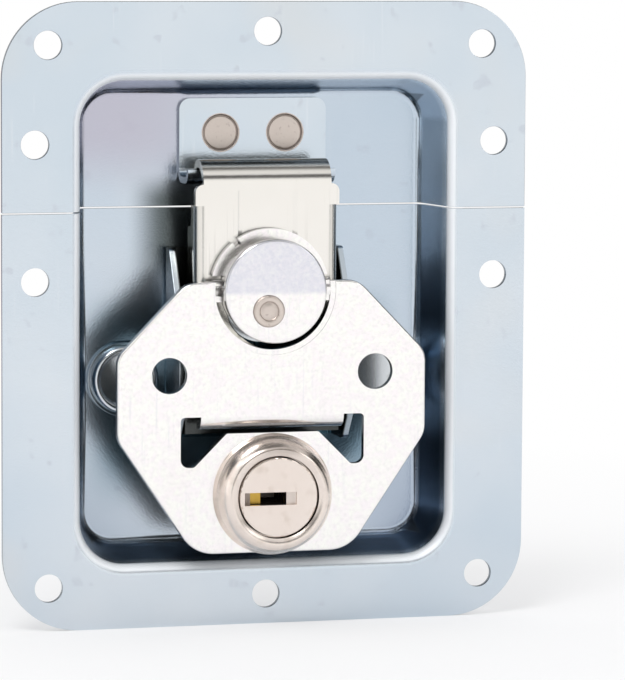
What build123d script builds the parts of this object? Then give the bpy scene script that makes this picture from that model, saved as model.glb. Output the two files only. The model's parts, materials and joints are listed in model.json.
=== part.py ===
from build123d import *
import math
import os

# Recessed rotary case latch with a folding two-finger wing and a key lock, in millimetres.
# Axes: X to the right, Z up the case wall, front towards -Y.
# Origin: on the back face of the dish flange, where the case lid and body meet, on the centre line.
# "Out" is a distance in front of that mounting face, so a point at out d has y = -d.

# ---- Dish -------------------------------------------------------------------------------------
DISH_SHEET = 1.2            # steel sheet of both dish halves
DISH_WIDTH = 98.2           # over the flange
DISH_ABOVE = 38.1           # flange height above the joint line
DISH_BELOW = 76.2           # flange height below the joint line
DISH_CORNER = 14.0
DISH_DEPTH = 12.7           # flange front to floor front
DISH_DRAFT = 12.4           # degrees that the recess wall leans
RECESS_WIDTH = 70.0         # at the flange front
RECESS_ABOVE = 24.2
RECESS_BELOW = 64.9
RECESS_CORNER = 8.6
LIP_ROUND = 2.0             # front rounding where the flange turns into the recess
FLOOR_ROUND = 1.3           # inside rounding round the recess floor
JOINT_GAP = 0.3             # between the two halves
FIX_HOLE = 5.2              # for 3/16 in rivets
FIX_SIDE_Z = 12.4           # the four side holes, from the joint line
FIX_EDGE_TOP = 5.4          # the hole on the centre line, from the flange's top edge
FIX_EDGE_BOTTOM = 5.5       # and the lower one, from its bottom edge
FIX_CORNER_IN = 2.4         # the corner holes lie this much further in, both ways

# ---- Strike on the upper half -----------------------------------------------------------------
STRIKE_SHEET = 1.2
STRIKE_WIDTH = 27.8
STRIKE_TOP = 20.0
STRIKE_BOTTOM = 4.6         # underside of the trough
STRIKE_TROUGH = 8.6         # trough depth, over the sheet
STRIKE_LIP = 7.3            # top of the front lip
STRIKE_BEND = 1.5           # inside radius of the bends
STRIKE_CORNER = 2.0
RIVET_SPACING = 12.2
RIVET_Z = 13.65
RIVET_SHANK = 6.3
RIVET_HEAD = 9.4
RIVET_HEAD_HIGH = 1.3
RIVET_RIM = 0.35            # countersunk rim in the strike
RIVET_SUNK = 0.1            # how far the rivet's end lies under the strike's face
RIVET_EDGE = 0.2
RIVET_HEAD_ROUND = 1.0

# ---- Base channel on the lower half -----------------------------------------------------------
BASE_SHEET = 1.2
BASE_WIDTH = 33.0           # over the side walls
BASE_TOP = 7.4              # below the joint line
BASE_BOTTOM = 42.8
BASE_BEND = 0.8
WALL_LOW = -7.1             # out of the wall edge at its low upper end
WALL_MIDDLE = -2.8
WALL_HIGH = 1.8             # out of the wall edge beside the wing
WALL_MIDDLE_DOWN = 7.1      # these two are measured down from the channel's upper end
WALL_HIGH_DOWN = 14.6
WALL_FOOT_UP = 6.0          # and this one up from its lower end
WALL_ROUNDS = [0, 1.0, 5.0, 4.0, 3.0, 2.0, 0]
EAR_X = 24.2
EAR_Z = 31.7
EAR_RADIUS = 6.9
EYELET_RIM = 6.3
EYELET_BORE = 4.7
EYELET_WALL = 0.6
EYELET_HIGH = 1.5
EYELET_INNER_ROUND = 0.4
EYELET_OUTER_ROUND = 0.7
CATCH_Z = 39.6              # middle of the lock's catch bar
CATCH_HIGH = 3.0
CATCH_OUT = -1.8            # its front face
CATCH_SHEET = 1.2
CATCH_FOOT = 3.0            # how far its turned ends reach back

# ---- Hook -------------------------------------------------------------------------------------
HOOK_SHEET = 1.5
HOOK_WIDTH = 27.0
HOOK_FACE = 1.5             # out of its front face
HOOK_TOP = 4.9              # top of the broad face
HOOK_BOTTOM = 31.0
HOOK_CORNER = 1.5           # upper corners of the broad face
HOOK_FLANGE = 6.5           # depth of the side flanges, over the face
FLANGE_TOP = 1.0            # above the joint line
HOOK_BEND = 1.0
NECK_WIDTH = 24.0
CLAW_TOP = 9.2
CLAW_GAP = 0.9              # between the claw and the back of the strike's lip
CLAW_TIP = 6.3
CLAW_BENDS = [2.8, 1.3]     # inside radii, from the face to the tip
HOOK_RIB = 11.2             # width of the shallow centre channel at the face
HOOK_RIB_DEEP = 0.25
HOOK_RIB_SIDE = 0.9         # width of each sloping side
HOOK_RIB_DOWN = 1.2         # it starts this far below the face's top
CLAW_LAP = 2.0              # how far the claw's strip runs down into the face

# ---- Cam --------------------------------------------------------------------------------------
CAM_Z = 14.2                # turning axis below the joint line
CRANK = 3.8                 # crank throw
OVER_CENTRE = 21.9          # degrees past bottom dead centre when shut
SHAFT_RADIUS = 2.1
BOSS_RADIUS = 6.2           # eccentric boss that works in the hook
COLLAR_RADIUS = 11.1
COLLAR_THICK = 1.5
HUB_RADIUS = 8.9
HUB_HIGH = 3.3
DISC_RADIUS = 9.5
DISC_THICK = 1.8
DISC_EDGE = 0.3
CRANK_SHANK = 1.5
CRANK_HEAD = 2.95
CRANK_HEAD_HIGH = 0.5
CRANK_DIMPLE = 1.75
CRANK_EDGE = 0.3
CRANK_SUNK = 0.6            # how far its tail lies inside the boss
BUSH_RADIUS = 4.5
BUSH_SPIGOT = 3.3           # the part set into the base
BUSH_EDGE = 0.4
WASHER_RADIUS = 4.6
WASHER_THICK = 0.8
SHAFT_HEAD = 3.2
SHAFT_HEAD_HIGH = 0.9
SHAFT_HEAD_ROUND = 0.8
SHAFT_SPIGOT = 0.5          # how far the shaft enters the drum
COLLAR_BELOW = 0.9          # the collar stops this far above the wing's top edge
NOTCH_ANGLE = 36.0          # detent notch in the collar, left of the top
NOTCH_WIDE = 1.3
NOTCH_DEEP = 1.2

# ---- Wing -------------------------------------------------------------------------------------
WING_SHEET = 1.6
WING_FRONT = 5.9
WING_TOP = 12.5
WING_TOP_HALF = 16.0
WING_HALF = 28.9
WING_WIDE_TOP = 25.9        # the widest stretch starts here
WING_WIDE_BOTTOM = 41.0     # and ends here
WING_BOTTOM = 62.3
WING_BOTTOM_HALF = 14.6
WING_ROUNDS = [5.0, 4.0, 5.0, 7.0]
WING_EDGE = 0.45
PIN_OUT = 3.75              # hinge pin axis
PIN_RADIUS = 1.0
EYE_RADIUS = 2.0            # of the hinge ears
EAR_SHEET = 1.6
EAR_INNER = 9.3             # inner face of each hinge ear, from the centre line
SCALLOP = 10.8              # radius of the wing's cut-out round the disc
COIN_WIDE = 1.0             # coined band round that cut-out
COIN_DEEP = 0.12
FINGER_HOLE = 6.6
FINGER_X = 19.3
FINGER_Z = 29.4
SLOT_HALF = 17.2
SLOT_TOP = 37.1
SLOT_TIP = 46.3
SHELF_TOP = 40.2            # top edge of the lock's part of the wing
SHELF_HALF = 8.6
SLOT_LIP_HALF = 13.4
SLOT_LIP_BACK = 2.2         # how far the turned lip reaches behind the wing
SLOT_LIP_BEND = 0.9
SLOT_ROUNDS = [0.8, 1.5, 0.9, 0.6]
SPRING_WIRE = 0.45
SPRING_TURNS = 5
SPRING_PITCH = 0.8
SPRING_START = 3.8

# ---- Lock -------------------------------------------------------------------------------------
LOCK_Z = 51.5
BEZEL_RADIUS = 10.7
BEZEL_FOOT = [(0.5, 0), (0.35, 0.5), (0.05, 1.0)]   # outward of that radius, above the wing
BEZEL_OUT = 11.2            # out of the bezel's crest
BEZEL_CURVE = [(0, 4.1), (0.25, 3.0), (0.8, 1.1), (1.5, 0.25), (2.1, 0), (2.6, 0.2)]
BEZEL_RIM = 0.15            # edge break round the plug
BEZEL_RIM_BACK = 0.5        # how far that edge lies behind the crest
BARREL_RADIUS = 7.5
BARREL_BACK = -3.4
PLUG_HEAD = 7.2
PLUG_HEAD_THICK = 1.8
PLUG_EDGE = 0.3
PLUG_OUT = 10.9
PLUG_BODY = 6.3
KEYWAY_LONG = 6.8
KEYWAY_HIGH = 2.36
KEYWAY_SHIFT = -1.8
KEYWAY_DROP = 0.2           # below the plug's axis
ENTRY_LONG = 9.7            # the shallow entry that the keyway opens from
ENTRY_SHIFT = -1.55
ENTRY_DEEP = 1.0
KEYWAY_DEEP = 10.5
WAFER_THICK = 1.0
WAFER_PITCH = 2.0
WAFER_COUNT = 4
WAFER_WIDE = 7.4
WAFER_HIGH = 7.4
WAFER_LEFT = -4.9
WAFER_BAR = 2.0             # width of the wafer left of its window
WAFER_EDGE = 0.7            # and right of it
WAFER_WINDOW = 3.3          # height of the window
WAFER_START = 0.8           # first wafer, behind the plug's head
NUT_FLATS = 19.0
NUT_THICK = 2.2
TONGUE_LONG = 12.0
TONGUE_WIDE = 7.0
TONGUE_THICK = 1.5
TONGUE_SQUARE = 5.0
TONGUE_HUB = 4.1
TONGUE_CORNER = 1.5
SCREW_SHANK = 1.5
SCREW_HEAD = 2.8
SCREW_HEAD_HIGH = 1.6
SCREW_LONG = 5.5
SCREW_DRIVE = 0.7
SCREW_DRIVE_LONG = 3.4
SCREW_DRIVE_DEEP = 0.9
SCREW_HEAD_ROUND = 0.5
SCREW_HOLE_SPARE = 0.2      # the tapped hole beyond the screw's end
LOCK_WASHER_RADIUS = 3.9
LOCK_WASHER_THICK = 0.6

# ---- Clearances -------------------------------------------------------------------------------
FIT = 0.05                  # radial, a shank in its hole
RUN = 0.1                   # radial, a turning or sliding fit
SIDE = 0.3                  # between moving faces
PAST = 1.0                  # how far a cut runs on past the metal
NEAR = 0.02                 # levels closer than this are the same

# ---- Places worked out from those values --------------------------------------------------------
FIX_SIDE_X = (RECESS_WIDTH + DISH_WIDTH) / 4 + LIP_ROUND / 2
FIX_CORNER_X = FIX_SIDE_X - FIX_CORNER_IN
FIX_MIDDLE_TOP = DISH_ABOVE - FIX_EDGE_TOP
FIX_MIDDLE_BOTTOM = DISH_BELOW - FIX_EDGE_BOTTOM
FIX_CORNER_TOP = FIX_MIDDLE_TOP - FIX_CORNER_IN
FIX_CORNER_BOTTOM = FIX_MIDDLE_BOTTOM - FIX_CORNER_IN

# ---- Levels worked out from those values, all as "out" -------------------------------------------
FLOOR = DISH_SHEET - DISH_DEPTH
FLOOR_BACK = FLOOR - DISH_SHEET
BASE_FACE = FLOOR + BASE_SHEET
STRIKE_FACE = FLOOR + STRIKE_SHEET
STRIKE_LIP_BACK = FLOOR + STRIKE_TROUGH - STRIKE_SHEET
HOOK_BACK = HOOK_FACE - HOOK_SHEET
COLLAR_BACK = HOOK_FACE + SIDE
COLLAR_FACE = COLLAR_BACK + COLLAR_THICK
DISC_BACK = COLLAR_FACE + HUB_HIGH
DISC_FACE = DISC_BACK + DISC_THICK
BOSS_BACK = HOOK_BACK - SIDE
WING_BACK = WING_FRONT - WING_SHEET
TONGUE_FACE = BARREL_BACK - FIT
THROUGH = 60.0              # longer than anything it cuts
CRANK_X = -CRANK * math.sin(math.radians(OVER_CENTRE))
CRANK_Z = -CAM_Z - CRANK * math.cos(math.radians(OVER_CENTRE))
HOOK_TRAVEL = 2 * CRANK * math.cos(math.radians(OVER_CENTRE))


# ---- Helpers ----------------------------------------------------------------------------------
def plate(outline, back, front):
    """A flat outline drawn in X and Z, as thick as from one out level to the other."""
    return extrude(Plane.XZ.offset(back) * outline, front - back)


def disc(radius, x, z, back, front):
    """A round solid along Y."""
    return plate(Pos(x, z) * Circle(radius), back, front)


def turned(points, x=0.0, z=0.0):
    """A solid turned about a Y axis, from (radius, out) points."""
    profile = make_face(Polyline(*[(r, -out) for r, out in points], close=True))
    solid = revolve(profile, Axis.Y)
    return Pos(x, 0, z) * solid


def side_profile(outline, half_width):
    """An outline drawn in (y, z), as wide as twice half_width along X."""
    return extrude(Plane.YZ * outline, half_width, both=True)


def bent_sheet(points, bends, sheet):
    """The section of a bent sheet: its middle line, each bend's inside radius, its thickness."""
    line = FilletPolyline(*points, radius=[bend + sheet / 2 for bend in bends])
    return trace(line, line_width=sheet)


def rounded(points, radii):
    """A closed outline whose corners each have their own radius."""
    sketch = make_face(Polyline(*points, close=True))
    for point, radius in zip(points, radii):
        if radius > 0:
            corner = sketch.vertices().sort_by_distance((point[0], point[1], 0))[0]
            sketch = fillet(corner, radius)
    return sketch


def mirrored(right, radii):
    """A closed outline from the points of its right half, top to bottom, and their corner radii."""
    left = [(-x, z) for x, z in reversed(right)]
    return rounded(right + left, radii + radii[::-1])


# ---- Dish -------------------------------------------------------------------------------------
def tall_rectangle(width, above, below, corner):
    shape = RectangleRounded(width, above + below, corner)
    return Pos(0, (above - below) / 2) * shape


def recess(grow, depth):
    """The drafted pocket, grown all round by one sheet thickness for its outside."""
    mouth = tall_rectangle(
        RECESS_WIDTH + 2 * grow, RECESS_ABOVE + grow, RECESS_BELOW + grow, RECESS_CORNER + grow
    )
    plane = Plane.XZ.offset(DISH_SHEET)
    return extrude(plane * mouth, -depth, taper=DISH_DRAFT)


def mouth_edges(shape, out):
    """The edges at one out level that run round the recess, not round the flange."""
    margin = 4 * DISH_SHEET
    found = []
    for edge in shape.edges():
        box = edge.bounding_box()
        level = box.max.Y - box.min.Y < NEAR and abs(box.max.Y + out) < NEAR
        inside = max(box.max.X, -box.min.X) < RECESS_WIDTH / 2 + margin
        low = box.min.Z > -RECESS_BELOW - margin
        high = box.max.Z < RECESS_ABOVE + margin
        if level and inside and low and high:
            found.append(edge)
    return found


def make_dish():
    wall = DISH_SHEET / math.cos(math.radians(DISH_DRAFT))
    flange = plate(
        tall_rectangle(DISH_WIDTH, DISH_ABOVE, DISH_BELOW, DISH_CORNER), 0, DISH_SHEET
    )
    dish = flange + recess(wall, DISH_DEPTH + DISH_SHEET) - recess(0, DISH_DEPTH)
    dish = fillet(mouth_edges(dish, DISH_SHEET), LIP_ROUND)
    dish = fillet(mouth_edges(dish, 0), LIP_ROUND - DISH_SHEET)
    dish = fillet(mouth_edges(dish, FLOOR), FLOOR_ROUND)
    dish = fillet(mouth_edges(dish, FLOOR_BACK), FLOOR_ROUND + DISH_SHEET)
    holes = [
        (side * x, z)
        for side in (-1, 1)
        for x, z in (
            (FIX_CORNER_X, FIX_CORNER_TOP),
            (FIX_CORNER_X, -FIX_CORNER_BOTTOM),
            (FIX_SIDE_X, FIX_SIDE_Z),
            (FIX_SIDE_X, -FIX_SIDE_Z),
        )
    ]
    holes += [(0, FIX_MIDDLE_TOP), (0, -FIX_MIDDLE_BOTTOM)]
    for x, z in holes:
        dish -= disc(FIX_HOLE / 2, x, z, -DISH_SHEET, 2 * DISH_SHEET)
    for side in (-1, 1):
        rivet_x = side * RIVET_SPACING / 2
        dish -= disc(RIVET_SHANK / 2 + FIT, rivet_x, RIVET_Z, FLOOR_BACK - PAST, FLOOR + PAST)
        eyelet = EYELET_BORE + EYELET_WALL + FIT
        dish -= disc(eyelet, side * EAR_X, -EAR_Z, FLOOR_BACK - PAST, FLOOR + PAST)
    dish -= disc(SHAFT_RADIUS + RUN, 0, -CAM_Z, FLOOR_BACK - PAST, FLOOR + PAST)
    return dish


def half(dish, above):
    """The dish above or below the joint line, less half the gap between the halves."""
    reach = 2 * DISH_WIDTH
    middle = reach / 2 + JOINT_GAP / 2
    block = Box(reach, reach, reach)
    return dish & (Pos(0, 0, middle if above else -middle) * block)


# ---- Strike -----------------------------------------------------------------------------------
def make_strike():
    back = -(FLOOR + STRIKE_SHEET / 2)
    front = -(FLOOR + STRIKE_TROUGH - STRIKE_SHEET / 2)
    low = STRIKE_BOTTOM + STRIKE_SHEET / 2
    section = bent_sheet(
        [(back, STRIKE_TOP), (back, low), (front, low), (front, STRIKE_LIP)],
        [STRIKE_BEND, STRIKE_BEND],
        STRIKE_SHEET,
    )
    strike = side_profile(section, STRIKE_WIDTH / 2)
    top_corners = [
        edge
        for edge in strike.edges().filter_by(Axis.Y)
        if edge.center().Z > STRIKE_TOP - NEAR
    ]
    strike = fillet(top_corners, STRIKE_CORNER)
    for side in (-1, 1):
        x = side * RIVET_SPACING / 2
        strike -= disc(RIVET_SHANK / 2 + FIT, x, RIVET_Z, FLOOR - PAST, STRIKE_FACE + PAST)
        rim = turned(
            [
                (0, STRIKE_FACE - RIVET_RIM),
                (RIVET_SHANK / 2 + FIT, STRIKE_FACE - RIVET_RIM),
                (RIVET_SHANK / 2 + FIT + RIVET_RIM, STRIKE_FACE),
                (RIVET_SHANK / 2 + FIT + RIVET_RIM, STRIKE_FACE + PAST),
                (0, STRIKE_FACE + PAST),
            ],
            x,
            RIVET_Z,
        )
        strike -= rim
    return strike


def make_strike_rivet(x):
    radius = RIVET_SHANK / 2
    back = FLOOR_BACK - RIVET_HEAD_HIGH
    return turned(
        [
            (0, STRIKE_FACE - RIVET_SUNK),
            (radius - RIVET_EDGE, STRIKE_FACE - RIVET_SUNK),
            (radius, STRIKE_FACE - RIVET_SUNK - RIVET_EDGE),
            (radius, FLOOR_BACK),
            (RIVET_HEAD / 2, FLOOR_BACK),
            (RIVET_HEAD / 2, FLOOR_BACK - RIVET_HEAD_HIGH / 2),
            (RIVET_HEAD / 2 - RIVET_HEAD_ROUND, back),
            (0, back),
        ],
        x,
        RIVET_Z,
    )


# ---- Base -------------------------------------------------------------------------------------
def make_base():
    mid_x = BASE_WIDTH / 2 - BASE_SHEET / 2
    mid_y = -(FLOOR + BASE_SHEET / 2)
    section = bent_sheet(
        [(-mid_x, -WALL_HIGH), (-mid_x, mid_y), (mid_x, mid_y), (mid_x, -WALL_HIGH)],
        [BASE_BEND, BASE_BEND],
        BASE_SHEET,
    )
    channel = extrude(Plane.XY.offset(-BASE_BOTTOM) * section, BASE_BOTTOM - BASE_TOP)
    # Seen from the side, the walls rise from the upper end and are rounded off at the lower one.
    side = rounded(
        [
            (-FLOOR, -BASE_TOP),
            (-WALL_LOW, -BASE_TOP),
            (-WALL_MIDDLE, -BASE_TOP - WALL_MIDDLE_DOWN),
            (-WALL_HIGH, -BASE_TOP - WALL_HIGH_DOWN),
            (-WALL_HIGH, -BASE_BOTTOM + WALL_FOOT_UP),
            (-WALL_MIDDLE, -BASE_BOTTOM),
            (-FLOOR, -BASE_BOTTOM),
        ],
        WALL_ROUNDS,
    )
    base = channel & side_profile(side, BASE_WIDTH)
    for x in (-EAR_X, EAR_X):
        ear = Pos(x, -EAR_Z) * Circle(EAR_RADIUS)
        ear += Pos(x / 2, -EAR_Z) * Rectangle(EAR_X, 2 * EAR_RADIUS)
        tab = plate(ear, FLOOR, BASE_FACE)
        inside = plate(Pos(0, -EAR_Z) * Rectangle(BASE_WIDTH - 2 * BASE_SHEET, THROUGH), FLOOR - PAST, PAST)
        base += tab - inside
    for x in (-EAR_X, EAR_X):
        base -= disc(EYELET_BORE + EYELET_WALL + FIT, x, -EAR_Z, FLOOR - PAST, BASE_FACE + PAST)
    base -= disc(BUSH_SPIGOT, 0, -CAM_Z, FLOOR - PAST, BASE_FACE + PAST)
    return base


def make_eyelet(x):
    """A blind eyelet: a rolled rim in front, a floor level with the dish, a flared tail behind."""
    bore = EYELET_BORE
    outer = EYELET_BORE + EYELET_WALL
    tail = FLOOR_BACK - EYELET_HIGH
    crest = BASE_FACE + EYELET_HIGH
    return turned(
        [
            (0, FLOOR),
            (bore, FLOOR),
            (bore, crest - EYELET_INNER_ROUND),
            (bore + EYELET_INNER_ROUND, crest),
            (EYELET_RIM - EYELET_OUTER_ROUND, crest),
            (EYELET_RIM, crest - EYELET_OUTER_ROUND),
            (EYELET_RIM, BASE_FACE),
            (outer, BASE_FACE),
            (outer, FLOOR_BACK),
            (EYELET_RIM, FLOOR_BACK),
            (EYELET_RIM - EYELET_INNER_ROUND, tail),
            (bore, tail),
            (bore, FLOOR - EYELET_WALL),
            (0, FLOOR - EYELET_WALL),
        ],
        x,
        -EAR_Z,
    )


def make_bush():
    front = BOSS_BACK - RUN
    return turned(
        [
            (SHAFT_RADIUS + RUN, front),
            (BUSH_RADIUS - BUSH_EDGE, front),
            (BUSH_RADIUS, front - BUSH_EDGE),
            (BUSH_RADIUS, BASE_FACE),
            (BUSH_SPIGOT - FIT, BASE_FACE),
            (BUSH_SPIGOT - FIT, FLOOR),
            (SHAFT_RADIUS + RUN, FLOOR),
        ],
        0,
        -CAM_Z,
    )


def make_catch():
    """A strip between the base walls; the lock's tongue turns up behind it."""
    inner = BASE_WIDTH / 2 - BASE_SHEET
    low = -CATCH_Z - CATCH_HIGH / 2
    high = -CATCH_Z + CATCH_HIGH / 2
    bar = plate(
        Pos(0, -CATCH_Z) * Rectangle(2 * inner, CATCH_HIGH), CATCH_OUT - CATCH_SHEET, CATCH_OUT
    )
    foot_back = CATCH_OUT - CATCH_SHEET - CATCH_FOOT
    for side in (-1, 1):
        foot = Rectangle(CATCH_SHEET, CATCH_HIGH)
        foot = Pos(side * (inner - CATCH_SHEET / 2), (low + high) / 2) * foot
        bar += plate(foot, foot_back, CATCH_OUT)
    upright = [
        edge
        for edge in bar.edges().filter_by(Axis.Z)
        if abs(edge.center().X) > inner - NEAR and abs(edge.center().Y + CATCH_OUT) < NEAR
    ]
    return fillet(upright, CATCH_SHEET * 0.8)


# ---- Hook -------------------------------------------------------------------------------------
def crank_place(turn):
    """Where the crank centre lies in the hook's own frame when the cam has turned by so many degrees."""
    angle = math.radians(turn - OVER_CENTRE)
    x = CRANK * math.sin(angle)
    z = -CAM_Z - CRANK * math.cos(angle) - HOOK_TRAVEL * turn / 180
    return x, z


def make_hook():
    mid_x = HOOK_WIDTH / 2 - HOOK_SHEET / 2
    front = -(HOOK_FACE - HOOK_SHEET / 2)
    back = -(HOOK_FACE - HOOK_FLANGE)
    section = bent_sheet(
        [(-mid_x, back), (-mid_x, front), (mid_x, front), (mid_x, back)],
        [HOOK_BEND, HOOK_BEND],
        HOOK_SHEET,
    )
    body = extrude(Plane.XY.offset(-HOOK_BOTTOM) * section, HOOK_BOTTOM + FLANGE_TOP)
    # Above the flanges the face goes on flat.
    flat = Rectangle(HOOK_WIDTH, HOOK_TOP - FLANGE_TOP)
    body += plate(Pos(0, (HOOK_TOP + FLANGE_TOP) / 2) * flat, HOOK_BACK, HOOK_FACE)
    # The side flanges stop below the strike's trough, which they must pass under when drawn up.
    relief_out = FLOOR + STRIKE_TROUGH + 2 * SIDE
    relief_top = STRIKE_BOTTOM - HOOK_TRAVEL - 2 * SIDE
    relief = rounded(
        [
            (-relief_out, FLANGE_TOP + PAST),
            (-FLOOR, FLANGE_TOP + PAST),
            (-FLOOR, relief_top),
            (-relief_out, relief_top),
        ],
        [0, 0, 0, HOOK_BEND],
    )
    body -= side_profile(relief, HOOK_WIDTH)
    corners = [
        (HOOK_WIDTH / 2, -HOOK_BOTTOM),
        (HOOK_WIDTH / 2, HOOK_TOP),
        (-HOOK_WIDTH / 2, HOOK_TOP),
        (-HOOK_WIDTH / 2, -HOOK_BOTTOM),
    ]
    body &= plate(rounded(corners, [0, HOOK_CORNER, HOOK_CORNER, 0]), FLOOR, HOOK_FACE)
    claw_back = -(STRIKE_LIP_BACK - CLAW_GAP - HOOK_SHEET / 2)
    claw_line = bent_sheet(
        [
            (front, HOOK_TOP - CLAW_LAP),
            (front, CLAW_TOP - HOOK_SHEET / 2),
            (claw_back, CLAW_TOP - HOOK_SHEET / 2),
            (claw_back, CLAW_TIP),
        ],
        CLAW_BENDS,
        HOOK_SHEET,
    )
    body += side_profile(claw_line, NECK_WIDTH / 2)
    # The opening is the sweep of the eccentric boss, worked out from the crank and the travel.
    sweep = Sketch()
    for turn in range(0, 181, 20):
        x, z = crank_place(turn)
        sweep += Pos(x, z) * Circle(BOSS_RADIUS + RUN)
    opening = make_hull(sweep.edges())
    body -= plate(opening, HOOK_BACK - PAST, HOOK_FACE + PAST)
    wide = HOOK_RIB / 2
    narrow = wide - HOOK_RIB_SIDE
    channel = Polygon(
        (-wide, -HOOK_FACE - PAST),
        (wide, -HOOK_FACE - PAST),
        (wide, -HOOK_FACE),
        (narrow, -HOOK_FACE + HOOK_RIB_DEEP),
        (-narrow, -HOOK_FACE + HOOK_RIB_DEEP),
        (-wide, -HOOK_FACE),
        align=None,
    )
    body -= extrude(Plane.XY.offset(HOOK_TOP - HOOK_RIB_DOWN) * channel, -THROUGH)
    return body


# ---- Cam --------------------------------------------------------------------------------------
def make_shaft():
    """The turning shaft with its eccentric boss, one turned piece."""
    back = FLOOR_BACK - WASHER_THICK - 2 * FIT
    shaft = disc(SHAFT_RADIUS, 0, -CAM_Z, back, COLLAR_BACK + SHAFT_SPIGOT)
    shaft += disc(BOSS_RADIUS, CRANK_X, CRANK_Z, BOSS_BACK, COLLAR_BACK)
    shaft += turned(
        [
            (0, back),
            (SHAFT_HEAD, back),
            (SHAFT_HEAD, back - SHAFT_HEAD_HIGH / 2),
            (SHAFT_HEAD - SHAFT_HEAD_ROUND, back - SHAFT_HEAD_HIGH),
            (0, back - SHAFT_HEAD_HIGH),
        ],
        0,
        -CAM_Z,
    )
    shaft -= disc(CRANK_SHANK + FIT, CRANK_X, CRANK_Z, BOSS_BACK - PAST, COLLAR_BACK + PAST)
    return shaft


def make_washer():
    ring = Circle(WASHER_RADIUS) - Circle(SHAFT_RADIUS + RUN)
    front = FLOOR_BACK - FIT
    return plate(Pos(0, -CAM_Z) * ring, front - WASHER_THICK, front)


def make_drum():
    drum = disc(COLLAR_RADIUS, 0, -CAM_Z, COLLAR_BACK, COLLAR_FACE)
    # Only the upper part of the collar stands; beside and below, the wing's hinge needs the room.
    below = WING_TOP - COLLAR_BELOW
    drum -= plate(Pos(0, -below - THROUGH / 2) * Rectangle(THROUGH, THROUGH), 0, COLLAR_FACE)
    notch = Pos(0, COLLAR_RADIUS) * Rectangle(NOTCH_WIDE, 2 * NOTCH_DEEP)
    notch = Pos(0, -CAM_Z) * Rot(0, 0, NOTCH_ANGLE) * notch
    drum -= plate(notch, 0, COLLAR_FACE + PAST)
    drum += disc(HUB_RADIUS, 0, -CAM_Z, COLLAR_BACK, DISC_BACK)
    drum -= disc(SHAFT_RADIUS + FIT, 0, -CAM_Z, COLLAR_BACK - PAST, COLLAR_BACK + SHAFT_SPIGOT + FIT)
    drum -= disc(CRANK_SHANK + FIT, CRANK_X, CRANK_Z, 0, DISC_BACK + PAST)
    cross = Plane.YZ * Pos(-PIN_OUT, -CAM_Z) * Circle(PIN_RADIUS + FIT)
    drum -= extrude(cross, COLLAR_RADIUS, both=True)
    room = Pos(-PIN_OUT, -CAM_Z) * Circle(PIN_RADIUS + SPRING_WIRE + SIDE)
    pocket = Plane.YZ.offset(SPRING_START - SIDE) * room
    drum -= extrude(pocket, HUB_RADIUS)
    return drum


def make_disc():
    cap = disc(DISC_RADIUS, 0, -CAM_Z, DISC_BACK, DISC_FACE)
    rim = cap.edges().filter_by(GeomType.CIRCLE).sort_by(Axis.Y)[0]
    cap = chamfer(rim, DISC_EDGE)
    cap -= disc(CRANK_SHANK + FIT, CRANK_X, CRANK_Z, DISC_BACK - PAST, DISC_FACE + PAST)
    return cap


def make_crank_rivet():
    top = DISC_FACE + CRANK_HEAD_HIGH
    dimple = top - CRANK_EDGE
    tail = BOSS_BACK + CRANK_SUNK
    return turned(
        [
            (0, dimple),
            (CRANK_DIMPLE - CRANK_EDGE, dimple),
            (CRANK_DIMPLE, top),
            (CRANK_HEAD - CRANK_EDGE, top),
            (CRANK_HEAD, top - CRANK_EDGE),
            (CRANK_HEAD, DISC_FACE),
            (CRANK_SHANK, DISC_FACE),
            (CRANK_SHANK, tail),
            (0, tail),
        ],
        CRANK_X,
        CRANK_Z,
    )


def make_pin():
    reach = EAR_INNER + EAR_SHEET - FIT
    return extrude(Plane.YZ * Pos(-PIN_OUT, -CAM_Z) * Circle(PIN_RADIUS), reach, both=True)


def make_spring():
    """A torsion spring wound round the hinge pin, in the drum's pocket."""
    radius = PIN_RADIUS + RUN + SPRING_WIRE / 2
    helix = Helix(SPRING_PITCH, SPRING_PITCH * SPRING_TURNS, radius)
    wire = Plane(helix @ 0, z_dir=helix % 0) * Rectangle(SPRING_WIRE, SPRING_WIRE)
    coil = sweep(wire, path=helix)
    return Pos(SPRING_START, -PIN_OUT, -CAM_Z) * Rot(0, 90, 0) * coil


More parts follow.
